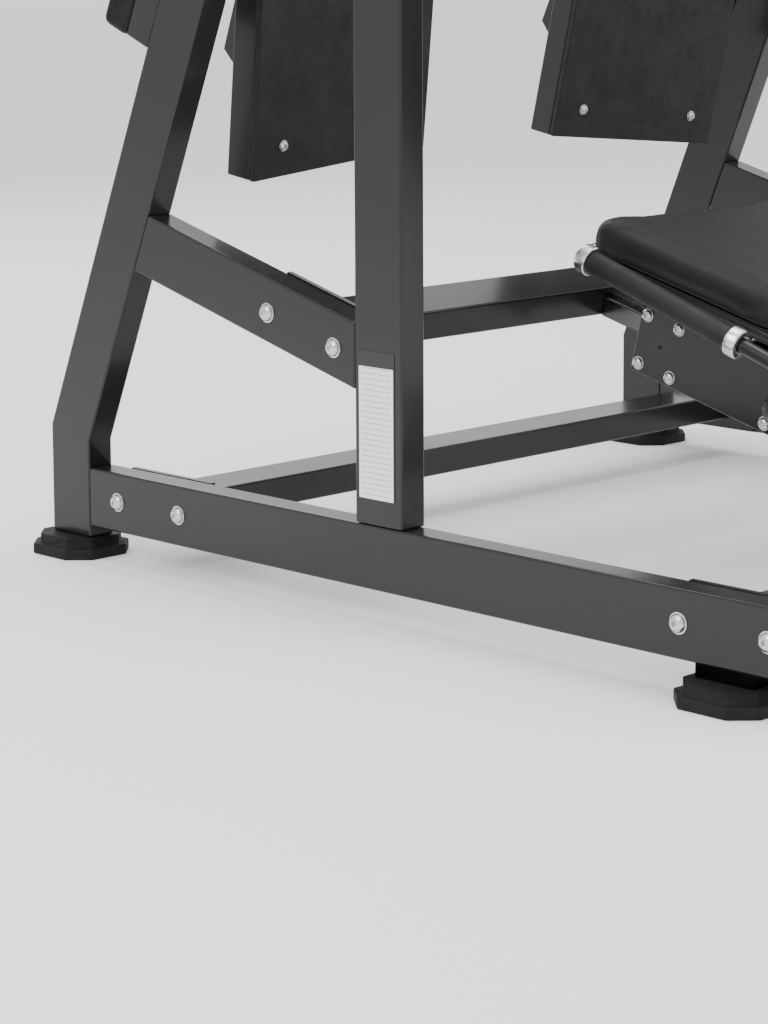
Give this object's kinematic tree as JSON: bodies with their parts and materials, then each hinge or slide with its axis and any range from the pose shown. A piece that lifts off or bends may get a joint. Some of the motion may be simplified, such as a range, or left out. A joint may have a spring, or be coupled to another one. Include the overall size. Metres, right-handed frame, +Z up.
{
  "type": "leg press machine",
  "caption": "Plate-loaded leg press with two independent swinging foot plates, a sliding reclined seat and an A-frame of rectangular tube.",
  "frame": {"origin": "centre of the bounding box on the floor", "axes": "+X to the user's right, +Y the way the user faces and presses, +Z up"},
  "size_m": [2.0892, 1.647, 1.58],
  "materials": {
    "coat": "glossy black powder coat",
    "steel": "satin stainless steel",
    "rubber": "matte black rubber",
    "vinyl": "matte black grained upholstery vinyl",
    "knob": "black moulded knob"
  },
  "bodies": {
    "frame": {"base_rail_l": "coat", "front_leg_l": "coat", "upright_l": "coat", "top_rail_l": "coat", "brace_l": "coat", "bumper_stub_l": "coat", "arm_bumper_l": "rubber", "pivot_bracket_l": "coat", "pivot_shaft_l": "steel", "front_foot_l": "rubber", "rear_foot_l": "rubber", "seat_rail_l": "steel", "base_rail_r": "coat", "front_leg_r": "coat", "upright_r": "coat", "top_rail_r": "coat", "brace_r": "coat", "bumper_stub_r": "coat", "arm_bumper_r": "rubber", "pivot_bracket_r": "coat", "pivot_shaft_r": "steel", "front_foot_r": "rubber", "rear_foot_r": "rubber", "seat_rail_r": "steel", "front_cross_rail": "coat", "seat_cross_rail": "coat", "rear_cross_rail": "coat", "top_cross_beam": "coat", "seat_rail_post": "coat"},
    "arm_l": {"pivot_hub_l": "coat", "press_arm_l": "coat", "arm_cross_tube_l": "coat", "weight_horn_l": "steel", "horn_stop_disc_l": "rubber", "horn_cap_l": "rubber", "footplate_tread_l": "rubber", "footplate_pan_l": "coat", "plate_bracket_l": "coat"},
    "arm_r": {"pivot_hub_r": "coat", "press_arm_r": "coat", "arm_cross_tube_r": "coat", "weight_horn_r": "steel", "horn_stop_disc_r": "rubber", "horn_cap_r": "rubber", "footplate_tread_r": "rubber", "footplate_pan_r": "coat", "plate_bracket_r": "coat"},
    "seat": {"seat_carriage": "coat", "seat_frame": "coat", "seat_pad": "vinyl", "back_frame": "coat", "back_pad": "vinyl", "side_handle_l": "coat", "side_handle_r": "coat", "handle_grip_l": "rubber", "handle_grip_r": "rubber", "lock_housing": "steel"},
    "lock": {"lock_pin": "knob"},
    "front_roller": {"front_roller": "steel"},
    "rear_roller": {"rear_roller": "steel"}
  },
  "joints": [
    {"name": "arm_swing_l", "type": "hinge", "parent": "frame", "child": "arm_l", "pos_m": [-0.441, 0.415, 1.42], "axis": [0.995, 0.0549, 0.083], "range_deg": [0, 38]},
    {"name": "arm_swing_r", "type": "hinge", "parent": "frame", "child": "arm_r", "pos_m": [0.441, 0.415, 1.42], "axis": [0.995, -0.0549, -0.083], "range_deg": [0, 38]},
    {"name": "seat_slide", "type": "slide", "parent": "frame", "child": "seat", "axis": [0, 0.9659, 0.2588], "range_m": [-0.24, 0]},
    {"name": "lock_pin_pull", "type": "slide", "parent": "seat", "child": "lock", "axis": [-1, 0, 0], "range_m": [0, 0.01], "stiffness_N_per_m": 400},
    {"name": "front_roller_turn", "type": "hinge", "parent": "seat", "child": "front_roller", "pos_m": [0, -0.1264, 0.37948], "axis": [1, 0, 0], "range_deg": [0, 1320]},
    {"name": "rear_roller_turn", "type": "hinge", "parent": "seat", "child": "rear_roller", "pos_m": [0, -0.30993, 0.3303], "axis": [1, 0, 0], "range_deg": [0, 1320]}
  ],
  "couplings": [
    {"joint": "front_roller_turn", "follows": "seat_slide", "rad_per_m": -95.238},
    {"joint": "rear_roller_turn", "follows": "seat_slide", "rad_per_m": -95.238}
  ]
}
